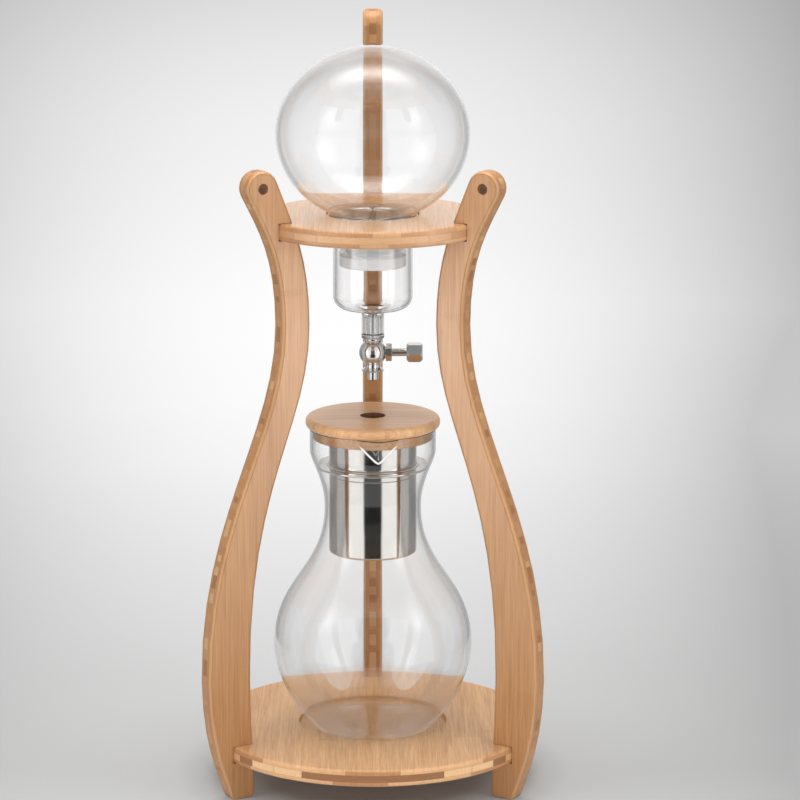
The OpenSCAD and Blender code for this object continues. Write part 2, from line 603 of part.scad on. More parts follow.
// The pinched pour spout: a wedge from the crease at the wall up to the point at the rim
module pour_wedge(grow, up) {
    k = 0.8;
    hull() {
        for (s = [-1, 1]) translate([s * (pour_half_w + grow) * 0.92, -mouth_r * cos(asin((pour_half_w + grow) / mouth_r)) + 1.5, carafe_h - k + up])
            cylinder(r = 0.6, h = k, $fn = 12);
        translate([0, -mouth_r - pour_out - grow + 1.5, carafe_h - k + up]) cylinder(r = 1.5, h = k, $fn = 24);
        translate([0, -mouth_r + 3, carafe_h - pour_h - grow]) cylinder(r = 0.6, h = k, $fn = 12);
    }
}
module carafe() {
    outer = carafe_line(0, 6);
    inner = carafe_line(glass_t, 6);
    m = len(inner);
    color(clear) translate([0, axis_y, carafe_z]) rotate([0, 0, pour_turn]) difference() {
        union() {
            rotate_extrude($fn = 120) polygon(concat([[0, 3.5]], bez([0, 3.5], [18, 3.5], [28, 0], [base_d / 2 - 9, 0], 5), outer, [[0, carafe_h]]));
            pour_wedge(glass_t, 0);
        }
        // the punt stands up in the middle of the floor
        rotate_extrude($fn = 120) polygon(concat([[0, 3.5 + glass_t * 1.4]],
            bez([0, 3.5 + glass_t * 1.4], [18, 3.5 + glass_t * 1.4], [28, glass_t * 1.4], [base_d / 2 - 12, glass_t * 1.4], 5),
            inner, [[inner[m - 1][0], carafe_h + 1], [0, carafe_h + 1]]));
        pour_wedge(0, 1);
    }
}

// ---- lid -------------------------------------------------------------------------------------------
lid_z = rim_z + 0.1;
plug_r = mouth_r - glass_t - plug_play;
module lid_disc() {
    r = lid_t / 2 - 0.6;
    color(bamboo) translate([0, axis_y, lid_z]) difference() {
        rotate_extrude($fn = 120) polygon(concat([[0, 0]], arc([lid_d / 2 - r, r], r, 270, 360, 5),
            arc([lid_d / 2 - r, lid_t - r], r, 0, 90, 5), [[0, lid_t]]));
        translate([0, 0, -1]) cylinder(d = lid_hole_d, h = lid_t + 2, $fn = 64);
    }
}
module lid_plug() {
    r = 2;
    color(bamboo) translate([0, axis_y, lid_z]) difference() {
        rotate_extrude($fn = 120) polygon(concat([[0, -plug_t]], arc([plug_r - r, r - plug_t], r, 270, 360, 3), [[plug_r, 0], [0, 0]]));
        translate([0, 0, -plug_t - 1]) cylinder(d = lid_hole_d, h = plug_t + 2, $fn = 64);
    }
}

// ---- filter ----------------------------------------------------------------------------------------
// Height above the base at which the inside of the glass, between throat and mouth, is r wide
function glass_height(r) = let (th = throat_d / 2 - glass_t, m = mouth_r - glass_t, q = (r - th) / (m - th),
        t = 0.5 - sin(asin(1 - 2 * q) / 3), u = 1 - t, s = carafe_h - mouth_h)
    u*u*u * throat_h + 3*u*u*t * (throat_h + rise) + 3*u*t*t * (s - drop) + t*t*t * s;
flange_z = carafe_z + glass_height(flange_d / 2 + 0.3) + 0.9;
cup_top = lid_z - plug_t - 0.4;
cup_z = flange_z - cup_below;
cup_r = cup_d / 2;
base_lip = 3;                            // the cup's floor is a narrow lip that carries the base screen
module filter_cup() {
    i = cup_r - cup_t;
    lz = flange_z - 1;
    color(steel) translate([0, axis_y, 0]) rotate_extrude($fn = 120) polygon(concat(
        [[i - base_lip, cup_z]], arc([cup_r - 2, cup_z + 2], 2, 270, 360, 4),
        // seam below the flange
        [[cup_r, lz - 6.4], [cup_r - 0.3, lz - 6], [cup_r, lz - 5.6]],
        [[cup_r, cup_top - 0.4], [cup_r - 0.4, cup_top], [i, cup_top]],
        // ledge of the shower screen
        [[i, lz + 0.8], [i - ledge_w, lz], [i - ledge_w, lz - cup_t], [i, lz - cup_t - 0.8]],
        [[i, cup_z + cup_t + 0.6], [i - 0.6, cup_z + cup_t], [i - base_lip, cup_z + cup_t]]));
}
module filter_flange() {
    R = flange_d / 2;
    r = cup_r + 0.05;
    t = flange_t;
    color(steel) translate([0, axis_y, flange_z]) rotate_extrude($fn = 120) polygon(concat(
        // raised bead round the cup, flat ring, rolled outer edge
        [[r, -2.4], [r + t, -2.4], [r + t + 0.6, -t], [R - 2.2, -t]],
        arc([R - 0.9, -0.9], 0.9, 250, 440, 8),
        [[R - 2, 0], [r + 2.2, 0]], arc([r + 1, 0], 1, 20, 180, 7)));
}
// A perforated disc with rings of holes, 6 more in each ring
module screen(r, rings, pitch) {
    difference() {
        cylinder(r = r, h = screen_t, $fn = 96);
        for (k = [0:rings]) for (i = [1:max(1, 6 * k)]) rotate([0, 0, 360 * i / max(1, 6 * k)])
            translate([k * pitch, 0, -1]) cylinder(d = screen_hole_d, h = screen_t + 2, $fn = 16);
    }
}
module base_screen() {
    r = cup_r - cup_t - screen_play;
    color("darkgray") translate([0, axis_y, cup_z + cup_t + 0.7]) screen(r, base_rings, (r - base_lip - 2) / (base_rings + 0.3));
}
module shower_screen() {
    r = cup_r - cup_t - screen_play;
    color("darkgray") translate([0, axis_y, flange_z - 1 + 0.85]) screen(r, shower_rings, (r - ledge_w - 2) / (shower_rings + 0.3));
}

leg_left();
leg_right();
leg_back();
upper_shelf();
lower_shelf();
upper_dowels();
lower_dowels();
globe();
globe_cap();
cap_ring();
riser_tube();
drip_chamber();
valve_stopper();
valve_body();
gland_nut();
stem_oring();
valve_stem();
valve_knob();
knob_screw();
outlet_skirt();
drip_spout();
lid_disc();
lid_plug();
filter_cup();
filter_flange();
shower_screen();
base_screen();
carafe();
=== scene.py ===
import bmesh
import bpy
import math
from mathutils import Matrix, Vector


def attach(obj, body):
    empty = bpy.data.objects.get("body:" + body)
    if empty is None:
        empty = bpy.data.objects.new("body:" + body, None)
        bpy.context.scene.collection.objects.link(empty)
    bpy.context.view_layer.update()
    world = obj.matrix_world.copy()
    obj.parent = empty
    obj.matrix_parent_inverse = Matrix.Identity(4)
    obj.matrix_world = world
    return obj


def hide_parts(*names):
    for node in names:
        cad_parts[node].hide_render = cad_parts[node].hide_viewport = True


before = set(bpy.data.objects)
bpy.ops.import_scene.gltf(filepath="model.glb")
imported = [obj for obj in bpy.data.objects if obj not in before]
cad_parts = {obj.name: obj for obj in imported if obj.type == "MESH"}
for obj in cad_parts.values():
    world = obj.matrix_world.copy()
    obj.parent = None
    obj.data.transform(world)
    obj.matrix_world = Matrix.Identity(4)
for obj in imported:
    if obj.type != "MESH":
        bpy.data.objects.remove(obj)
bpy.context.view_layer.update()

# Shapes are given in millimetres, and the stage, lamps and camera in metres.
AY = -0.00965                      # y of the tower's own axis in metres, as in part.scad
AY_MM = AY * 1000
TURN = {"leg_left": 210, "leg_right": 330, "leg_back": 90}
HALF_BOARD = 7.3                   # just under half a leg's thickness: beyond it is its broad face
LEG_CORE = (-2.75, 2.75)           # a leg's middle ply, from its middle plane
SHELF_CORE = (-8.9, -3.9)          # a shelf's middle ply, from its top
SHELF_TOP, SHELF_LOW = 427.0, 41.5  # the tops of the two shelves
LID_HOLE = 9.6                     # within this radius the lid's wood gets painted shade, the dark of its hole's wall
WORLD = 0.62                       # the world's strength


# ---- node trees ----------------------------------------------------------------------------------
class Tree:
    """A material's node tree, built by short calls. Values may be numbers, colours or sockets."""

    def __init__(self, name):
        self.mat = bpy.data.materials.new(name)
        self.mat.use_nodes = True
        self.t = self.mat.node_tree
        self.t.nodes.clear()
        self.out = self.t.nodes.new("ShaderNodeOutputMaterial")

    def put(self, node, key, value):
        sock = node.inputs[key]
        if isinstance(value, bpy.types.NodeSocket):
            self.t.links.new(value, sock)
        elif isinstance(value, (tuple, list)) and len(value) == 3 and sock.type == "RGBA":
            sock.default_value = (*value, 1)
        else:
            sock.default_value = value

    def node(self, kind, ins=(), **props):
        n = self.t.nodes.new("ShaderNode" + kind)
        for k, v in props.items():
            setattr(n, k, v)
        for k, v in dict(ins).items():
            self.put(n, k, v)
        return n

    def math(self, op, a, b=0.0, clamp=False):
        return self.node("Math", {0: a, 1: b}, operation=op, use_clamp=clamp).outputs[0]

    def add(self, a, b, clamp=False):
        return self.math("ADD", a, b, clamp)

    def sub(self, a, b):
        return self.math("SUBTRACT", a, b)

    def mul(self, a, b):
        return self.math("MULTIPLY", a, b)

    def div(self, a, b):
        return self.math("DIVIDE", a, b)

    def mag(self, a):
        return self.math("ABSOLUTE", a)

    def floor(self, a):
        return self.math("FLOOR", a)

    def over(self, a, limit):
        """1 where a is more than limit, and 0 elsewhere."""
        return self.math("GREATER_THAN", a, limit)

    def under(self, a, limit):
        return self.math("LESS_THAN", a, limit)

    def from_middle(self, a):
        """How far a is from the middle of its own unit cell: 0.5 at the cell's edges."""
        return self.mag(self.sub(self.math("FRACT", a), 0.5))

    def radius(self, x, y):
        return self.math("SQRT", self.add(self.mul(x, x), self.mul(y, y)))

    def blob(self, u, v):
        """A soft round spot: 1 at u = v = 0, and about a third at one unit from there."""
        return self.math("EXPONENT", self.mul(self.add(self.mul(u, u), self.mul(v, v)), -1.0))

    def vec(self, x, y, z):
        return self.node("CombineXYZ", {0: x, 1: y, 2: z}).outputs[0]

    def split(self, v):
        return self.node("SeparateXYZ", {0: v}).outputs

    def mix(self, f, a, b):
        n = self.node("Mix", data_type="RGBA")
        self.put(n, 0, f)
        self.put(n, 6, a)
        self.put(n, 7, b)
        return n.outputs[2]

    def noise(self, xyz, by, detail, rough=0.5):
        """Noise of three coordinates, each times its own scale. None leaves one as it is."""
        v = self.vec(*(c if k is None else self.mul(c, k) for c, k in zip(xyz, by)))
        ins = {"Vector": v, "Scale": 1, "Detail": detail, "Roughness": rough}
        return self.node("TexNoise", ins).outputs[0]

    def chance(self, x, y, z):
        """A fixed random number from 0 to 1 for each cell x, y, z."""
        return self.node("TexWhiteNoise", {"Vector": self.vec(x, y, z)}).outputs[0]

    def ramp(self, f, lo, hi, a=0.0, b=1.0):
        return self.node("MapRange", {0: f, 1: lo, 2: hi, 3: a, 4: b}, clamp=True).outputs[0]

    def bump(self, h, strength, dist):
        return self.node("Bump", {"Height": h, "Strength": strength, "Distance": dist}).outputs[0]

    def shader(self, **ins):
        n = self.node("BsdfPrincipled")
        for k, v in ins.items():
            self.put(n, k.replace("_", " "), v)
        return n

    def glow(self, strength):
        return self.node("Emission", {"Color": (1, 1, 1), "Strength": strength}).outputs[0]

    def see_through(self, *colour):
        return self.node("BsdfTransparent", {"Color": colour}).outputs[0]

    def blend(self, f, a, b):
        return self.node("MixShader", {0: f, 1: a, 2: b}).outputs[0]

    def lamp_passes(self, surf, *colour):
        """Lamps shine through the surface, tinted by colour."""
        lamp = self.node("LightPath").outputs["Is Shadow Ray"]
        return self.blend(lamp, surf, self.see_through(*colour))

    def done(self, surf):
        self.t.links.new(surf, self.out.inputs[0])
        return self.mat


def lin(r, g, b):
    """sRGB 0-255 to linear."""
    return tuple(((v / 255 + 0.055) / 1.055) ** 2.4 if v > 10 else v / 255 / 12.92
                 for v in (r, g, b))


# ---- bamboo --------------------------------------------------------------------------------------
BAMBOO_LIGHT, BAMBOO_DARK = (199, 154, 107), (147, 100, 55)
SEAM_BROWN = lin(126, 84, 50)
EDGE_BROWN = lin(146, 100, 60)
# the next three colours are painted light on the legs: painted shade low down and near the top, a
# painted highlight along the chamfers, and a painted sheen at mid height
PAINTED_SHADE_BROWN = lin(150, 100, 58)
PAINTED_CHAMFER_HIGHLIGHT = lin(220, 178, 134)
PAINTED_SHEEN_PINK = (0.95, 0.70, 0.58)
CUT_BROWN = lin(120, 80, 48)
PLY_LINE = lin(120, 80, 46)
PAINTED_HOLE_SHADE = lin(58, 30, 16)


def local_mm(t, turn):
    """x, y, z sockets in millimetres round the tower's axis, turned back by turn degrees."""
    co = t.node("TexCoord").outputs["Object"]
    m = t.node("Mapping", {"Vector": co, "Location": (0, -AY, 0)}).outputs[0]
    back = {"Vector": m, "Rotation": (0, 0, -math.radians(turn)), "Scale": (1000, 1000, 1000)}
    return t.split(t.node("Mapping", back).outputs[0])


def grain(t, u, v, w, strip, seed):
    """Long grain of a laminated board: u across the strips, v along them, w through the board."""
    column = t.floor(t.div(u, strip))
    slip = t.mul(t.chance(column, seed, 0.5), 260)
    length = t.floor(t.div(t.add(v, slip), 330))
    tone = t.chance(column, length, seed + 1)
    bent = t.add(u, t.mul(t.noise((u, v, seed), (0.05, 0.004, None), 1), 5))
    fine = t.noise((bent, v, w), (1.5, 0.03, 0.5), 4, 0.62)
    streak = t.noise((bent, v, seed), (0.42, 0.009, None), 3, 0.6)
    broad = t.noise((bent, v, seed + 3), (0.12, 0.006, None), 2)
    # growth nodes: now and then a strip has a short band of dark specks
    along = t.add(t.mul(t.chance(column, seed + 2, 0), 9), t.div(v, 205))
    has_node = t.over(t.chance(column, t.floor(along), seed + 4), 0.70)
    speck = t.ramp(t.noise((u, v, seed), (1.0, 0.8, None), 2), 0.42, 0.60)
    knot = t.mul(t.mul(t.ramp(t.from_middle(along), 0.006, 0.02, 1, 0), has_node), speck)
    seam = t.ramp(t.from_middle(t.div(u, strip)), 0.5 - 0.30 / strip, 0.5, 0, 1)
    return tone, fine, streak, broad, knot, seam


def leg_blocks(t, x, y, z, seed):
    """A leg's core: its strips run across it, and their ends make small blocks up its edges."""
    slow = t.mul(t.noise((z, seed, 0), (0.035, None, None), 2), 26)
    block = t.div(t.add(z, slow), 5.6)
    return block, t.noise((x, y, z), (0.08, 1.4, 1.4), 3)


def shelf_blocks(t, x, y, z, seed):
    """A shelf's core: its strips run left to right, long at the front and short at the sides."""
    slow = t.mul(t.noise((y, seed, 0), (0.05, None, None), 1), 16)
    block = t.div(t.add(y, slow), 13.0)
    return block, t.noise((x, y, z), (0.03, 1.2, 1.2), 3)


def rim_ends(t, col, u, strip, seed, below):
    """A shelf's face plies show their strips' ends on the rim: darker, and of uneven tone."""
    up = t.split(t.node("TexCoord").outputs["Normal"])[2]
    rim = t.ramp(t.mag(up), 0.5, 0.85, 1, 0)
    end = t.chance(t.floor(t.div(t.add(u, t.mul(below, 9.0)), strip)), seed, 9)
    ends = t.mix(t.ramp(end, 0.10, 0.75), lin(150, 98, 60), lin(206, 160, 116))
    return t.mix(t.mul(rim, 0.62), col, ends)


def core_colour(t, block, fibre, seed):
    """The ends of a core's strips: each block has its own tone, and a few are pale or dark."""
    tone = t.chance(t.floor(block), seed, 7)
    col = t.mix(t.ramp(tone, 0.12, 0.88), lin(172, 125, 83), lin(200, 156, 112))
    col = t.mix(t.mul(t.over(tone, 0.88), 0.7), col, lin(230, 192, 144))
    col = t.mix(t.mul(t.under(tone, 0.13), 0.8), col, lin(126, 82, 47))
    col = t.mix(t.mul(t.ramp(fibre, 0.35, 0.7), 0.30), col, lin(160, 112, 72))
    cut = t.ramp(t.from_middle(block), 0.46, 0.5)
    return t.mix(t.mul(cut, 0.28), col, CUT_BROWN)


def bamboo(name, turn, along, strip, seed, core=None, pale=0.0, light=BAMBOO_LIGHT,
           dark=BAMBOO_DARK, hole_shade=0.0, gloss=0.0):
    """Laminated bamboo, its grain along one axis.
    core: the low and high side of the crosswise ply between two face plies. A piece that has one is
    a leg where the grain runs along z, and otherwise a shelf. pale is for legs alone: how strong
    the painted light on their broad faces is, a pinker painted sheen at mid height and painted
    shade below and above."""
    t = Tree(name)
    x, y, z = local_mm(t, turn)
    u, v, w = {"z": (x, z, y), "y": (x, y, z), "x": (y, x, z)}[along]
    leg = core and along == "z"
    tone, fine, streak, broad, knot, seam = grain(t, u, v, w, strip, seed)
    f = t.add(t.mul(tone, 0.20), t.mul(t.ramp(fine, 0.36, 0.64), 0.40))
    f = t.add(f, t.mul(t.ramp(streak, 0.38, 0.62), 0.28))
    f = t.add(f, t.mul(t.ramp(broad, 0.38, 0.62), 0.12), clamp=True)
    col = t.mix(f, lin(*dark), lin(*light))
    col = t.mix(t.mul(knot, 0.34), col, SEAM_BROWN)
    col = t.mix(t.mul(seam, 0.16), col, SEAM_BROWN)
    height = t.sub(fine, t.mul(seam, 0.6))
    if leg:
        broadside = t.over(t.mag(y), HALF_BOARD)
    if pale:              # painted light: a lighter, pinker painted sheen at mid height, and painted shade that browns the faces below and above
        middle = t.sub(t.ramp(z, 80, 330, 0, pale), t.ramp(z, 345, 440, 0, pale * 0.6))
        col = t.mix(t.mul(middle, broadside), col, PAINTED_SHEEN_PINK)
        ends = t.add(t.ramp(z, 60, 330, 0.42, 0.0), t.ramp(z, 400, 440, 0.0, 0.30))
        col = t.mix(t.mul(ends, broadside), col, PAINTED_SHADE_BROWN)
    if core:
        low, high = core
        q = y if leg else z
        inside = t.mul(t.over(q, low), t.under(q, high))
        block, fibre = (leg_blocks if leg else shelf_blocks)(t, x, y, z, seed)
        if not leg:
            col = rim_ends(t, col, u, strip, seed, t.under(q, low))
        col = t.mix(inside, col, core_colour(t, block, fibre, seed))
        lines = (t.ramp(t.mag(t.sub(q, side)), 0.05, 0.35, 1, 0) for side in core)
        line = t.math("MAXIMUM", *lines)
        col = t.mix(t.mul(line, 0.30), col, PLY_LINE)
        height = t.sub(height, line)
    if leg:               # the edges are darker than the faces, and a painted highlight runs pale along the chamfers
        col = t.mix(t.sub(0.50, t.mul(broadside, 0.50)), col, EDGE_BROWN)
        normal = t.node("TexCoord").outputs["Normal"]
        turned = t.node("Mapping", {"Vector": normal, "Rotation": (0, 0, -math.radians(turn))})
        face_on = t.mag(t.split(turned.outputs[0])[1])
        # painted highlight: a pale band where the rounded chamfers turn from edge to face
        chamfer_highlight = t.mul(t.ramp(face_on, 0.25, 0.55), t.ramp(face_on, 0.86, 0.97, 1, 0))
        col = t.mix(t.mul(chamfer_highlight, 0.22), col, PAINTED_CHAMFER_HIGHLIGHT)
    # painted shade: within the given radius the wood darkens to the dark of a deep hole
    if hole_shade:
        col = t.mix(t.mul(t.under(t.radius(x, y), hole_shade), 0.8), col, PAINTED_HOLE_SHADE)
    rough = t.ramp(fine, 0.2, 0.8, 0.46, 0.34)
    s = t.shader(Base_Color=col, Roughness=rough, Normal=t.bump(height, 0.25, 0.0002))
    t.put(s, "Specular IOR Level", 0.5)
    if gloss:
        t.put(s, "Coat Weight", gloss)
        t.put(s, "Coat Roughness", 0.22)
    return t.done(s.outputs[0])


# ---- glass, steel, plastics ----------------------------------------------------------------------
def glass(name, edge, power, fade=None, foot=None, vanish=0.6):
    """Clear glass whose colour darkens to edge where it is seen edge on: painted shade standing in
    for the dark reflections along glass rims. Lamps shine through it.
    fade: (z of the pale end, z of the full end), where the darkening sets in.
    foot: the same for the last stretch, which is thin enough to be seen straight through."""
    t = Tree(name)
    f = t.math("POWER", t.node("LayerWeight", {"Blend": 0.5}).outputs["Facing"], power)
    if fade:
        ends = (0.12, 1.0) if fade[0] < fade[1] else (1.0, 0.12)
        f = t.mul(f, t.ramp(local_mm(t, 0)[2], *sorted(fade), *ends))
    s = t.shader(Base_Color=t.mix(f, (1.0,) * 3, (edge,) * 3), Roughness=0.0, IOR=1.46)
    t.put(s, "Transmission Weight", 1.0)
    surf = s.outputs[0]
    if foot:
        gone = t.ramp(local_mm(t, 0)[2], *foot, vanish, 0.0)
        surf = t.blend(gone, surf, t.see_through(0.985, 0.985, 0.985))
    return t.done(t.lamp_passes(surf, 0.95, 0.955, 0.955))


def steel(name, col, rough, along="z", brush=0.03):
    """Polished steel: turned or drawn round the axis (z), or brushed along it (x)."""
    t = Tree(name)
    xyz = local_mm(t, 0)
    brushed = t.noise(xyz, (0.05, 0.05, 4) if along == "z" else (5, 0.3, 0.3), 3)
    soil = t.noise(xyz, (0.06, 0.06, 0.06), 2)
    r = t.add(t.ramp(brushed, 0.3, 0.7, rough - brush, rough + brush), t.mul(soil, 0.03))
    s = t.shader(Base_Color=col, Metallic=1.0, Roughness=r, Normal=t.bump(brushed, 0.04, 0.00005))
    return t.done(s.outputs[0])


def plastic(name, col, rough, through=0.0, milk=0.0, sheer=None):
    """Moulded plastic or soft rubber with a faint uneven skin.
    sheer: (z of the full end, z of the thin end, share let through there), for a wall thin enough
    to see through."""
    t = Tree(name)
    xyz = local_mm(t, 0)
    skin = t.noise(xyz, (0.4, 0.4, 0.4), 4)
    c = t.mix(t.ramp(skin, 0.3, 0.7), col, tuple(v * 0.94 for v in col))
    r = t.ramp(skin, 0.3, 0.7, rough - 0.05, rough + 0.05)
    s = t.shader(Base_Color=c, Roughness=r, Normal=t.bump(skin, 0.1, 0.0001))
    t.put(s, "Transmission Weight", through)
    if milk:
        t.put(s, "Subsurface Weight", milk)
        t.put(s, "Subsurface Radius", (0.004, 0.004, 0.004))
        t.put(s, "Subsurface Scale", 0.5)
    if sheer:
        low, high, share = sheer
        thin = t.ramp(xyz[2], low, high, 0.0, share)
        return t.done(t.blend(thin, s.outputs[0], t.see_through(0.98, 0.98, 0.98)))
    if not through:
        return t.done(s.outputs[0])
    return t.done(t.lamp_passes(s.outputs[0], 0.8, 0.8, 0.8))


# ---- meshes --------------------------------------------------------------------------------------
def give(o, mat):
    o.data.materials.clear()
    o.data.materials.append(mat)
    return o


def smooth(me, sharp):
    me.polygons.foreach_set("use_smooth", [True] * len(me.polygons))
    me.set_sharp_from_angle(angle=math.radians(sharp))


def put_in_scene(name, me):
    o = bpy.data.objects.new(name, me)
    bpy.context.scene.collection.objects.link(o)
    return o


def new_object(name, verts, faces, sharp):
    me = bpy.data.meshes.new(name)
    me.from_pydata([tuple(c / 1000 for c in v) for v in verts], [], faces)
    me.validate()
    smooth(me, sharp)
    return put_in_scene(name, me)


def arc(c, r, a0, a1, n):
    angles = [math.radians(a0 + (a1 - a0) * i / n) for i in range(n + 1)]
    return [(c[0] + r * math.cos(a), c[1] + r * math.sin(a)) for a in angles]


def bez(p0, p1, p2, p3, n):
    """The n points after p0 on a cubic curve."""
    out = []
    for i in range(1, n + 1):
        t = i / n
        u = 1 - t
        out.append(tuple(u**3 * a + 3 * u * u * t * b + 3 * u * t * t * c + t**3 * d
                         for a, b, c, d in zip(p0, p1, p2, p3)))
    return out


def lathe(name, loop, segs, sharp=35, bend=None):
    """Turns a closed loop of (radius, z) round the tower's axis. bend moves a point (x, y, z)."""
    verts, rings = [], []
    for r, z in loop:
        if r < 1e-4:                     # on the axis: one point stands for the whole ring
            rings.append([len(verts)] * segs)
            verts.append((0, AY_MM, z))
        else:
            ring = []
            for k in range(segs):
                a = 2 * math.pi * k / segs
                p = (r * math.cos(a), r * math.sin(a), z)
                if bend:
                    p = bend(*p)
                ring.append(len(verts))
                verts.append((p[0], p[1] + AY_MM, p[2]))
            rings.append(ring)
    faces = []
    for i, a in enumerate(rings):
        b = rings[(i + 1) % len(rings)]
        if a[0] == a[1] and b[0] == b[1]:
            continue
        for k in range(segs):
            k1 = (k + 1) % segs
            f = list(dict.fromkeys((a[k], a[k1], b[k1], b[k])))
            if len(f) > 2:
                faces.append(f)
    o = new_object(name, verts, faces, sharp)
    bm = bmesh.new()
    bm.from_mesh(o.data)
    bmesh.ops.recalc_face_normals(bm, faces=bm.faces)
    bm.to_mesh(o.data)
    bm.free()
    return o


def relook(node, mat, sharp=30):
    """A welded, smoothly shaded copy of a CAD node's mesh that stands for it. Its edges of sharp
    degrees and more stay sharp."""
    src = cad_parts[node]
    me = src.data.copy()
    me.transform(src.matrix_world)
    bm = bmesh.new()
    bm.from_mesh(me)
    bmesh.ops.remove_doubles(bm, verts=bm.verts, dist=2e-6)
    bmesh.ops.dissolve_degenerate(bm, edges=bm.edges, dist=1e-6)
    bm.to_mesh(me)
    bm.free()
    if me.attributes.get("custom_normal"):
        me.attributes.remove(me.attributes["custom_normal"])
    smooth(me, sharp)
    o = give(put_in_scene(node + "_look", me), mat)
    w = o.modifiers.new("normals", "WEIGHTED_NORMAL")
    w.keep_sharp = True
    w.weight = 80
    return o


def stands_for(o, body, slot, *nodes):
    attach(o, body)
    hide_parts(*nodes)


# ---- materials -----------------------------------------------------------------------------------
clear = glass("globe_glass", 0.20, 6.5, fade=(424, 446), foot=(424, 434), vanish=0.35)
valve_metal = steel("valve_steel", (0.70, 0.69, 0.67), 0.13, "x", 0.03)
cup_metal = steel("filter_steel", (0.68, 0.66, 0.63), 0.10, "z", 0.02)
screen_metal = steel("screen_steel", (0.5, 0.5, 0.49), 0.3)
dark_metal = steel("screw_steel", (0.2, 0.2, 0.2), 0.35)
white = plastic("white_plastic", (0.99, 0.99, 0.99), 0.30, milk=0.7, sheer=(396.4, 397.4, 0.62))
soft = plastic("clear_rubber", (0.97, 0.965, 0.96), 0.16, 0.86)
black = plastic("black_rubber", (0.02, 0.02, 0.02), 0.5)

for k, node in enumerate(("leg_left", "leg_right", "leg_back")):
    # only the front legs get the painted sheen and painted shade on their faces
    pale = 0.0 if node == "leg_back" else 0.24
    mat = bamboo("bamboo_" + node, TURN[node], "z", 21.0, 3.0 + 5 * k, LEG_CORE, pale)
    stands_for(relook(node, mat), "frame", "bamboo", node)


def shelf_core(top):
    return tuple(top + side for side in SHELF_CORE)


mat = bamboo("bamboo_upper_shelf", 0, "y", 20.0, 21.0, shelf_core(SHELF_TOP), gloss=0.7)
stands_for(relook("upper_shelf", mat), "frame", "bamboo", "upper_shelf")
mat = bamboo("bamboo_lower_shelf", 0, "y", 20.0, 33.0, shelf_core(SHELF_LOW),
             light=(218, 174, 128), dark=(166, 118, 72))
stands_for(relook("lower_shelf", mat), "frame", "bamboo", "lower_shelf")
dowel = bamboo("dowel_wood", 0, "z", 30.0, 51.0)
for node in ("upper_dowels", "lower_dowels"):
    give(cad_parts[node], dowel)
# the lid's and plug's bamboo is lighter than the other pieces': painted light, making up for the
# light the upper shelf keeps off them
mat = bamboo("bamboo_lid", 0, "x", 15.0, 41.0, light=(229, 184, 140), dark=(184, 134, 88),
             hole_shade=LID_HOLE, gloss=0.3)
stands_for(relook("lid_disc", mat), "lid", "bamboo", "lid_disc")
mat = bamboo("bamboo_plug", 0, "x", 15.0, 47.0, light=(226, 182, 138), dark=(178, 130, 86),
             hole_shade=LID_HOLE)
stands_for(relook("lid_plug", mat), "lid", "bamboo", "lid_plug")


# ---- glass pieces --------------------------------------------------------------------------------
WALL = 1.8                                         # all three glasses' wall
CHAMBER_D = 58.4
seat_r = CHAMBER_D / 2 - WALL / 2                  # the ring where the globe rests on the chamber
RIM_Z = 427.0                                      # the chamber's rim
seat_z = RIM_Z - 0.8
GLOBE_A, GLOBE_B = 141.5 / 2, 129 / 2              # the globe's half width and half height
NECK_R = 20.0
NECK_DROP = 33                                     # from the seat down to the neck's mouth


def dome(a, b, r):
    """How far an ellipse of half axes a, b is from its middle plane, at radius r."""
    return b * math.sqrt(1 - r * r / (a * a))


globe_z = seat_z + 0.3 + dome(GLOBE_A, GLOBE_B, seat_r)


def shell(a, b, r, n):
    """The globe's outline from its top down to radius r."""
    end = 180 - math.degrees(math.asin(r / a))
    angles = [math.radians(end * i / n) for i in range(n + 1)]
    return [(a * math.sin(q), globe_z + b * math.cos(q)) for q in angles]


def globe_loop():
    ro, ri = NECK_R, NECK_R - WALL
    end = seat_z - NECK_DROP
    root = ro + 4                                  # where the ball turns into the neck
    z_root = globe_z - dome(GLOBE_A, GLOBE_B, root)
    z_in = globe_z - dome(GLOBE_A - WALL, GLOBE_B - WALL, root + 0.5)
    lip = ro + 1.5
    out = shell(GLOBE_A, GLOBE_B, root, 90)
    out += bez((root, z_root), (root - 2, z_root - 0.8), (ro, z_root - 2), (ro, z_root - 6), 10)
    out += [(ro, end + 4.6)]
    out += bez((ro, end + 4.6), (ro, end + 3.4), (lip, end + 3.6), (lip, end + 2), 5)
    out += bez((lip, end + 2), (lip, end + 0.4), (lip - 0.8, end), (ri + 1.4, end), 5)
    out += bez((ri + 1.4, end), (ri + 0.3, end), (ri, end + 0.4), (ri, end + 1), 4)
    out += [(ri, z_root - 4)]
    out += bez((ri, z_root - 4), (ri, z_root), (root - 1.5, z_in - 0.6), (root + 0.5, z_in), 10)
    inner = shell(GLOBE_A - WALL, GLOBE_B - WALL, root + 0.5, 90)
    return out + inner[-2::-1]


g = give(lathe("globe_flask", globe_loop(), 160), clear)
stands_for(g, "globe_flask", "clear_glass", "globe")


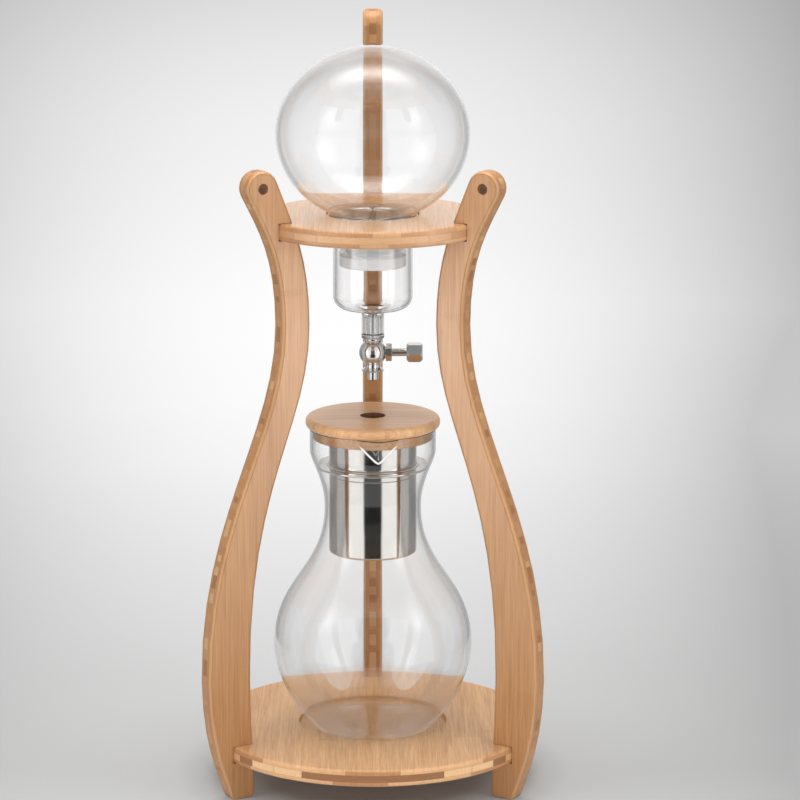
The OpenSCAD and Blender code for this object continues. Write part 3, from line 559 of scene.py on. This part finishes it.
def chamber_loop():
    R, Ri = CHAMBER_D / 2, CHAMBER_D / 2 - WALL
    k = 10.0                                       # radius of the bottom's corner
    ro, ri = 8.2, 8.2 - WALL                       # the neck
    zb, end = 355.0, 338.0                         # the bottom, and the neck's end
    slope = GLOBE_B * seat_r / (GLOBE_A * GLOBE_A * math.sqrt(1 - seat_r**2 / GLOBE_A**2))
    out = [(ri, end + 0.4), (ri + 0.4, end), (ro - 0.6, end), (ro - 0.17, end + 0.17),
           (ro, end + 0.6), (ro, zb - 3.5)]
    out += bez((ro, zb - 3.5), (ro, zb - 1.5), (ro + 0.5, zb - 0.3), (ro + 3, zb), 8)
    out += arc((R - k, zb + 1.5 + k), k, 278, 360, 20)
    # the collar that hangs in the upper shelf, and the seat ground to the globe's slope
    out += [(R, 423.9), (R + 3.2, 424.0), (R + 4, 424.6), (R + 4, 426.4), (R + 3.4, RIM_Z)]
    out += [(seat_r + 1.6, RIM_Z), (seat_r + 1, seat_z + slope), (seat_r - 1, seat_z - slope),
            (Ri, seat_z - slope - 1)]
    out += arc((R - k, zb + 1.5 + k), k - WALL, 360, 278, 20)
    out += bez((ro + 3, zb + WALL), (ro, zb + WALL - 0.5), (ri, zb), (ri, zb - 5), 9)
    return out


chamber_glass = glass("chamber_glass", 0.10, 6.0, fade=(424, 414))
c = give(lathe("drip_chamber_glass", chamber_loop(), 128), chamber_glass)
stands_for(c, "drip_unit", "clear_glass", "drip_chamber")

CARAFE_Z, CARAFE_H = 38.55, 229.0                  # the carafe's base and height
MOUTH_R = 46.6
LIP_H = 17                                         # the straight mouth, and the pouring lip in it
LIP_DEEP = 6.0                                     # how far the lip reaches out
POUR = 5                                           # degrees from the front to the right
CREASE_H = CARAFE_Z + CARAFE_H - LIP_H             # where the lip's creases meet
BELLY_R, BELLY_Z = 73.8, 64
THROAT_R, THROAT_Z = 35.7, 169
FOOT_R = 42.0
THICKER = 1.4                                      # the bottom's thickness over the wall's


def carafe_line(w, n):
    """The carafe's outline, w inside the outer one: foot, belly, throat and mouth."""
    m, th, b, f, z0 = MOUTH_R - w, THROAT_R - w, BELLY_R - w, FOOT_R - w, w * THICKER
    s, zb, zt = CARAFE_H - LIP_H, BELLY_Z, THROAT_Z
    out = [(f - 4, z0)] + bez((f, z0), (f + 7, z0 + 1), (b, zb - 30), (b, zb), 2 * n)
    out += bez((b, zb), (b, zb + 47), (th, zt - 48), (th, zt), 3 * n)
    out += bez((th, zt), (th, zt + 22), (m, s - 8), (m, s), 2 * n)
    return out + [(m, s + LIP_H * i / 14) for i in range(1, 14)]


def punt(flat, z):
    """The bottom, raised in the middle, from the axis out to radius flat."""
    return [(0, z + 3.5)] + bez((0, z + 3.5), (18, z + 3.5), (28, z), (flat, z), 12)


def carafe_loop():
    m, top = MOUTH_R, CARAFE_H
    out = punt(33, 0) + carafe_line(0, 16)
    out += [(m, top - 0.9), (m - 0.26, top - 0.26), (m - WALL / 2, top),
            (m - WALL + 0.26, top - 0.26), (m - WALL, top - 0.9)]
    out += list(reversed(carafe_line(WALL, 16)))
    t = WALL * THICKER
    out += list(reversed(punt(30, t)))
    return [(r, z + CARAFE_Z) for r, z in out]


def pour(x, y, z):
    """Pinches the lip: two creases run down the wall from the rim and meet in a V."""
    h = (z - CREASE_H) / LIP_H
    a = math.atan2(y, x) + math.pi / 2 - math.radians(POUR)
    s = h - abs(a) * MOUTH_R / LIP_H
    if h <= 0 or s <= 0 or abs(a) > 1 or math.hypot(x, y) < 40:
        return x, y, z
    d = LIP_DEEP * (math.sqrt(s * s + 0.0025) - 0.05 + 0.05 * s)
    q = math.radians(-90 + POUR)
    return x + d * math.cos(q), y + d * math.sin(q), z


carafe_glass = glass("carafe_glass", 0.60, 4.6, fade=(52, 108), foot=(48, 74), vanish=0.65)
c = give(lathe("carafe_glass", carafe_loop(), 288, bend=pour), carafe_glass)
stands_for(c, "carafe_jug", "clear_glass", "carafe")


def painted_crease_light():
    """A pale tube along the two folds of the pouring lip, which meet in a V: a painted highlight
    for the light the folds catch.
    """
    n, m = 40, 8                                   # steps up each side, and points round a fold
    path, verts, faces = [], [], []
    for k in range(-n, n + 1):
        a = 0.31 * k / n
        h = (math.sqrt(a * a + 0.0009) - 0.03) * MOUTH_R
        q = math.radians(-90 + POUR) + a
        path.append(Vector((MOUTH_R * math.cos(q), MOUTH_R * math.sin(q) + AY_MM, CREASE_H + h)))
    for k, p in enumerate(path):
        fore = (path[min(k + 1, 2 * n)] - path[max(k - 1, 0)]).normalized()
        out = Vector((p.x, p.y - AY_MM, 0)).normalized()
        side = fore.cross(out)
        half = 0.75 * min(1.0, (n - abs(k - n) + 0.5) / 8)
        for i in range(m):
            w = 2 * math.pi * i / m
            verts.append(p + side * half * math.cos(w) + out * 0.5 * half * math.sin(w))
    for k in range(0, 2 * n * m, m):
        faces += [(k + i, k + (i + 1) % m, k + m + (i + 1) % m, k + m + i) for i in range(m)]
    faces += [tuple(range(m - 1, -1, -1)), tuple(range(2 * n * m, 2 * n * m + m))]
    return new_object("carafe_fold_highlight", verts, faces, 60)


# a whitish tube laid on the lip's folds: a painted highlight
crease_glint = give(painted_crease_light(), plastic("painted_fold_highlight", (0.98, 0.98, 0.98), 0.12, 0.35))
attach(crease_glint, "carafe_jug")

# ---- the rest of the CAD nodes -------------------------------------------------------------------
give(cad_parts["riser_tube"], glass("riser_glass", 0.35, 2.0))
stands_for(relook("globe_cap", white, 35), "cap", "white_plastic", "globe_cap")
give(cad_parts["cap_ring"], soft)
stands_for(relook("valve_stopper", soft, 35), "drip_unit", "clear_rubber", "valve_stopper")
give(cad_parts["stem_oring"], black)
VALVE = {"drip_unit": ("valve_body", "gland_nut", "outlet_skirt", "drip_spout"),
         "stem": ("valve_stem", "valve_knob")}
for body, nodes in VALVE.items():
    for node in nodes:
        stands_for(relook(node, valve_metal), body, "valve_steel", node)
give(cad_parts["knob_screw"], dark_metal)
for node in ("filter_cup", "filter_flange"):
    stands_for(relook(node, cup_metal), "filter", "filter_steel", node)
for node in ("shower_screen", "base_screen"):
    give(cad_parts[node], screen_metal)


# ---- floor, world, lamps, camera: metres from here on --------------------------------------------
def place(t):
    """x, y, z sockets in metres, from the object's own origin."""
    return t.split(t.node("TexCoord").outputs["Object"])


def stops(t, f, rows):
    """A grey ramp: rows of (position, value)."""
    n = t.node("ValToRGB")
    t.put(n, 0, f)
    el = n.color_ramp.elements
    el[0].position, el[0].color = rows[0][0], (rows[0][1],) * 3 + (1,)
    el[1].position, el[1].color = rows[-1][0], (rows[-1][1],) * 3 + (1,)
    for p, v in rows[1:-1]:
        el.new(p).color = (v, v, v, 1)
    return n.outputs[0]


SWEEP = 6.0                                        # metres that SWEEP_TONES covers
SWEEP_TONES = [(0, 0.33), (0.029, 0.31), (0.057, 0.375), (0.089, 0.49), (0.125, 0.63),
               (0.167, 0.79), (0.2145, 0.903), (0.27, 0.965), (0.313, 0.98), (0.478, 0.926),
               (0.59, 0.89), (0.732, 0.817), (0.885, 0.724), (1, 0.66)]


def floor_mat():
    """A pale floor. What camera and glass see of it is brightest two metres from the tower, as the
    photograph's sweep is, and falls off to the sides. It keeps the tower's shadow."""
    t = Tree("floor")
    x, y = place(t)[:2]
    r = t.radius(x, y)
    far = stops(t, t.ramp(r, 0.0, SWEEP), SWEEP_TONES)
    wide = t.div(x, t.add(t.mag(y), 2.6))          # sideways, in a wedge that widens with |y|
    off = t.div(t.add(wide, 0.011), 0.20)          # its middle is a little left of the tower
    fall = t.mul(t.mul(off, off), t.ramp(r, 0.2, 1.9, 2.15, 1.3))
    side = t.math("MAXIMUM", t.sub(1.0, fall), t.ramp(r, 0.4, 1.2, 0.10, 0.42))
    below = t.ramp(r, 0.085, 0.15, 0.06, 1.0)      # painted shadow: the floor's own glow is darkened below the lower shelf
    own = t.glow(t.mul(t.mul(far, t.mul(side, below)), 1.25))
    lit = t.node("BsdfDiffuse", {"Color": (0.80, 0.80, 0.80)}).outputs[0]
    first = t.under(t.node("LightPath").outputs["Diffuse Depth"], 0.5)
    look = t.blend(0.62, lit, own)
    # in front, to the sides and far off, where the main view doesn't reach, it passes into the
    # world's grey
    away = t.math("MAXIMUM", t.ramp(y, -0.35, -1.2), t.ramp(r, 6.0, 12.0))
    away = t.math("MAXIMUM", away, t.ramp(t.mag(wide), 0.14, 0.45))
    look = t.blend(away, look, t.glow(WORLD))
    return t.done(t.blend(first, lit, look))


bm = bmesh.new()
bmesh.ops.create_circle(bm, cap_ends=True, radius=14, segments=96)
me = bpy.data.meshes.new("floor")
bm.to_mesh(me)
bm.free()
floor = give(put_in_scene("floor", me), floor_mat())


def only_reflected(name, verts, faces, at, strength):
    """Stage that only reflections see, to give metal and glass the dark and light of a studio."""
    me = bpy.data.meshes.new(name)
    me.from_pydata(verts, [], faces)
    o = put_in_scene(name, me)
    t = Tree(name)
    shine = t.glow(strength(t))
    nothing = t.node("BsdfTransparent").outputs[0]
    seen = t.over(t.node("LightPath").outputs["Glossy Depth"], 0.5)
    give(o, t.done(t.blend(seen, nothing, shine)))
    o.visible_camera = o.visible_diffuse = o.visible_shadow = o.visible_volume_scatter = False
    o.location = at


def wall_light(white, spot_z, spot_size, spot_power, centre, above):
    """Black straight ahead, a tall white screen on either side, dim sides, and a back that is
    bright above. There is a soft bright spot on either side, at height spot_z."""
    def strength(t):
        x, y, z = place(t)
        # degrees round the tower's axis, 0 at the front and positive to the right
        a = t.mul(t.math("ARCTAN2", x, t.mul(y, -1.0)), 180 / math.pi)
        b = t.mag(a)
        end = t.ramp(t.over(a, 0.0), 0, 1, 64.0, 74.0)    # the right screen is the wider one
        past = t.sub(b, end)
        start = t.ramp(z, 0.18, 0.22, 20.5, 15.0)
        inner = t.ramp(t.sub(b, start), 0, 4)
        screen = t.mul(inner, t.ramp(past, 0, 3, 1, 0))
        mid = t.mul(t.ramp(past, 1, 4), t.ramp(b, 101, 106, 1, 0))
        dim = t.mul(t.ramp(b, 101, 106), t.ramp(z, 0.20, 0.36, 0.27, 0.42))
        back = t.mul(t.ramp(b, 138, 158), t.ramp(z, 0.16, 0.50, 0.32, above))
        out = t.add(t.mul(screen, white), t.mul(mid, 0.56))
        out = t.add(out, t.add(dim, back))
        spot = t.blob(t.div(t.sub(b, 56), 11), t.div(t.sub(z, spot_z), spot_size))
        dark = t.mul(t.sub(1.0, inner),
                     t.mul(t.ramp(z, 0.18, 0.30, 0.0, centre), t.ramp(z, 0.85, 1.1, 1.0, 0.1)))
        return t.add(t.add(out, t.add(dark, 0.012)), t.mul(spot, spot_power))
    return strength


def wall(name, radius, low, high, strength, n=96):
    ring = [(radius * math.sin(2 * math.pi * k / n), radius * math.cos(2 * math.pi * k / n))
            for k in range(n)]
    verts = [(*p, z) for z in (low, high) for p in ring]
    faces = [(k, (k + 1) % n, n + (k + 1) % n, n + k) for k in range(n)]
    only_reflected(name, verts, faces, (0, AY, 0), strength)


wall("near_screens", 0.45, 0.002, 0.52, wall_light(1.22, 0.36, 0.11, 1.9, 0.12, 0.58))
wall("far_screens", 0.75, 0.002, 1.45, wall_light(0.95, 0.70, 0.15, 0.3, 0.45, 0.58))


def top_light(t):
    """Dim all over, with a soft bright spot above the tower."""
    x, y = place(t)[:2]
    return t.add(t.mul(t.blob(t.div(x, 0.50), t.div(y, 0.20)), 6.0), 0.6)


only_reflected("canopy", [(-0.75, -0.45, 0), (0.75, -0.45, 0), (0.75, 0.45, 0), (-0.75, 0.45, 0)],
               [(0, 1, 2, 3)], (0, 0.10, 1.46), top_light)


def lamp(name, at, look, size, watts):
    d = bpy.data.lights.new(name, "AREA")
    d.shape = "RECTANGLE"
    d.size, d.size_y = size
    d.energy = watts
    o = put_in_scene(name, d)
    o.location = at
    o.rotation_euler = (Vector(at) - Vector(look)).to_track_quat("Z", "Y").to_euler()
    o.visible_camera = o.visible_glossy = o.visible_transmission = False


def round_tower(az, dist, z):
    """A place at azimuth az, counted from the camera's side, positive to the right."""
    a = math.radians(az)
    return (dist * math.sin(a), -dist * math.cos(a), z)


lamp("box_left", round_tower(-52, 1.25, 0.85), (0, 0, 0.35), (0.8, 0.9), 4.6)
lamp("box_right", round_tower(52, 1.25, 0.85), (0, 0, 0.35), (0.8, 0.9), 4.6)
lamp("box_front", round_tower(0, 1.7, 0.34), (0, 0, 0.33), (0.7, 0.5), 7)
lamp("box_top", (0, 0.05, 1.5), (0, 0, 0.4), (1.0, 0.6), 17)

w = bpy.data.worlds.new("studio")
bpy.context.scene.world = w
w.use_nodes = True
bg = w.node_tree.nodes["Background"]
bg.inputs[0].default_value = (1, 1, 1, 1)
bg.inputs[1].default_value = WORLD

# the camera that was fitted to the photograph, whose frame is 800 pixels wide
PHOTO_W, FOCAL, SHIFT = 800, 3513.3, 27.2          # pixels
TILT = 12.506                                      # degrees down
SENSOR = 36                                        # millimetres
cam = bpy.data.cameras.new("camera")
cam.sensor_width = SENSOR
cam.lens = FOCAL * SENSOR / PHOTO_W
cam.shift_x = SHIFT / PHOTO_W
cam.clip_end = 60
o = put_in_scene("camera", cam)
o.location = (0, AY - 2.52945, 0.84867)
o.rotation_euler = (math.radians(90 - TILT), 0, 0)
bpy.context.scene.camera = o
bpy.context.scene.view_settings.view_transform = "Standard"
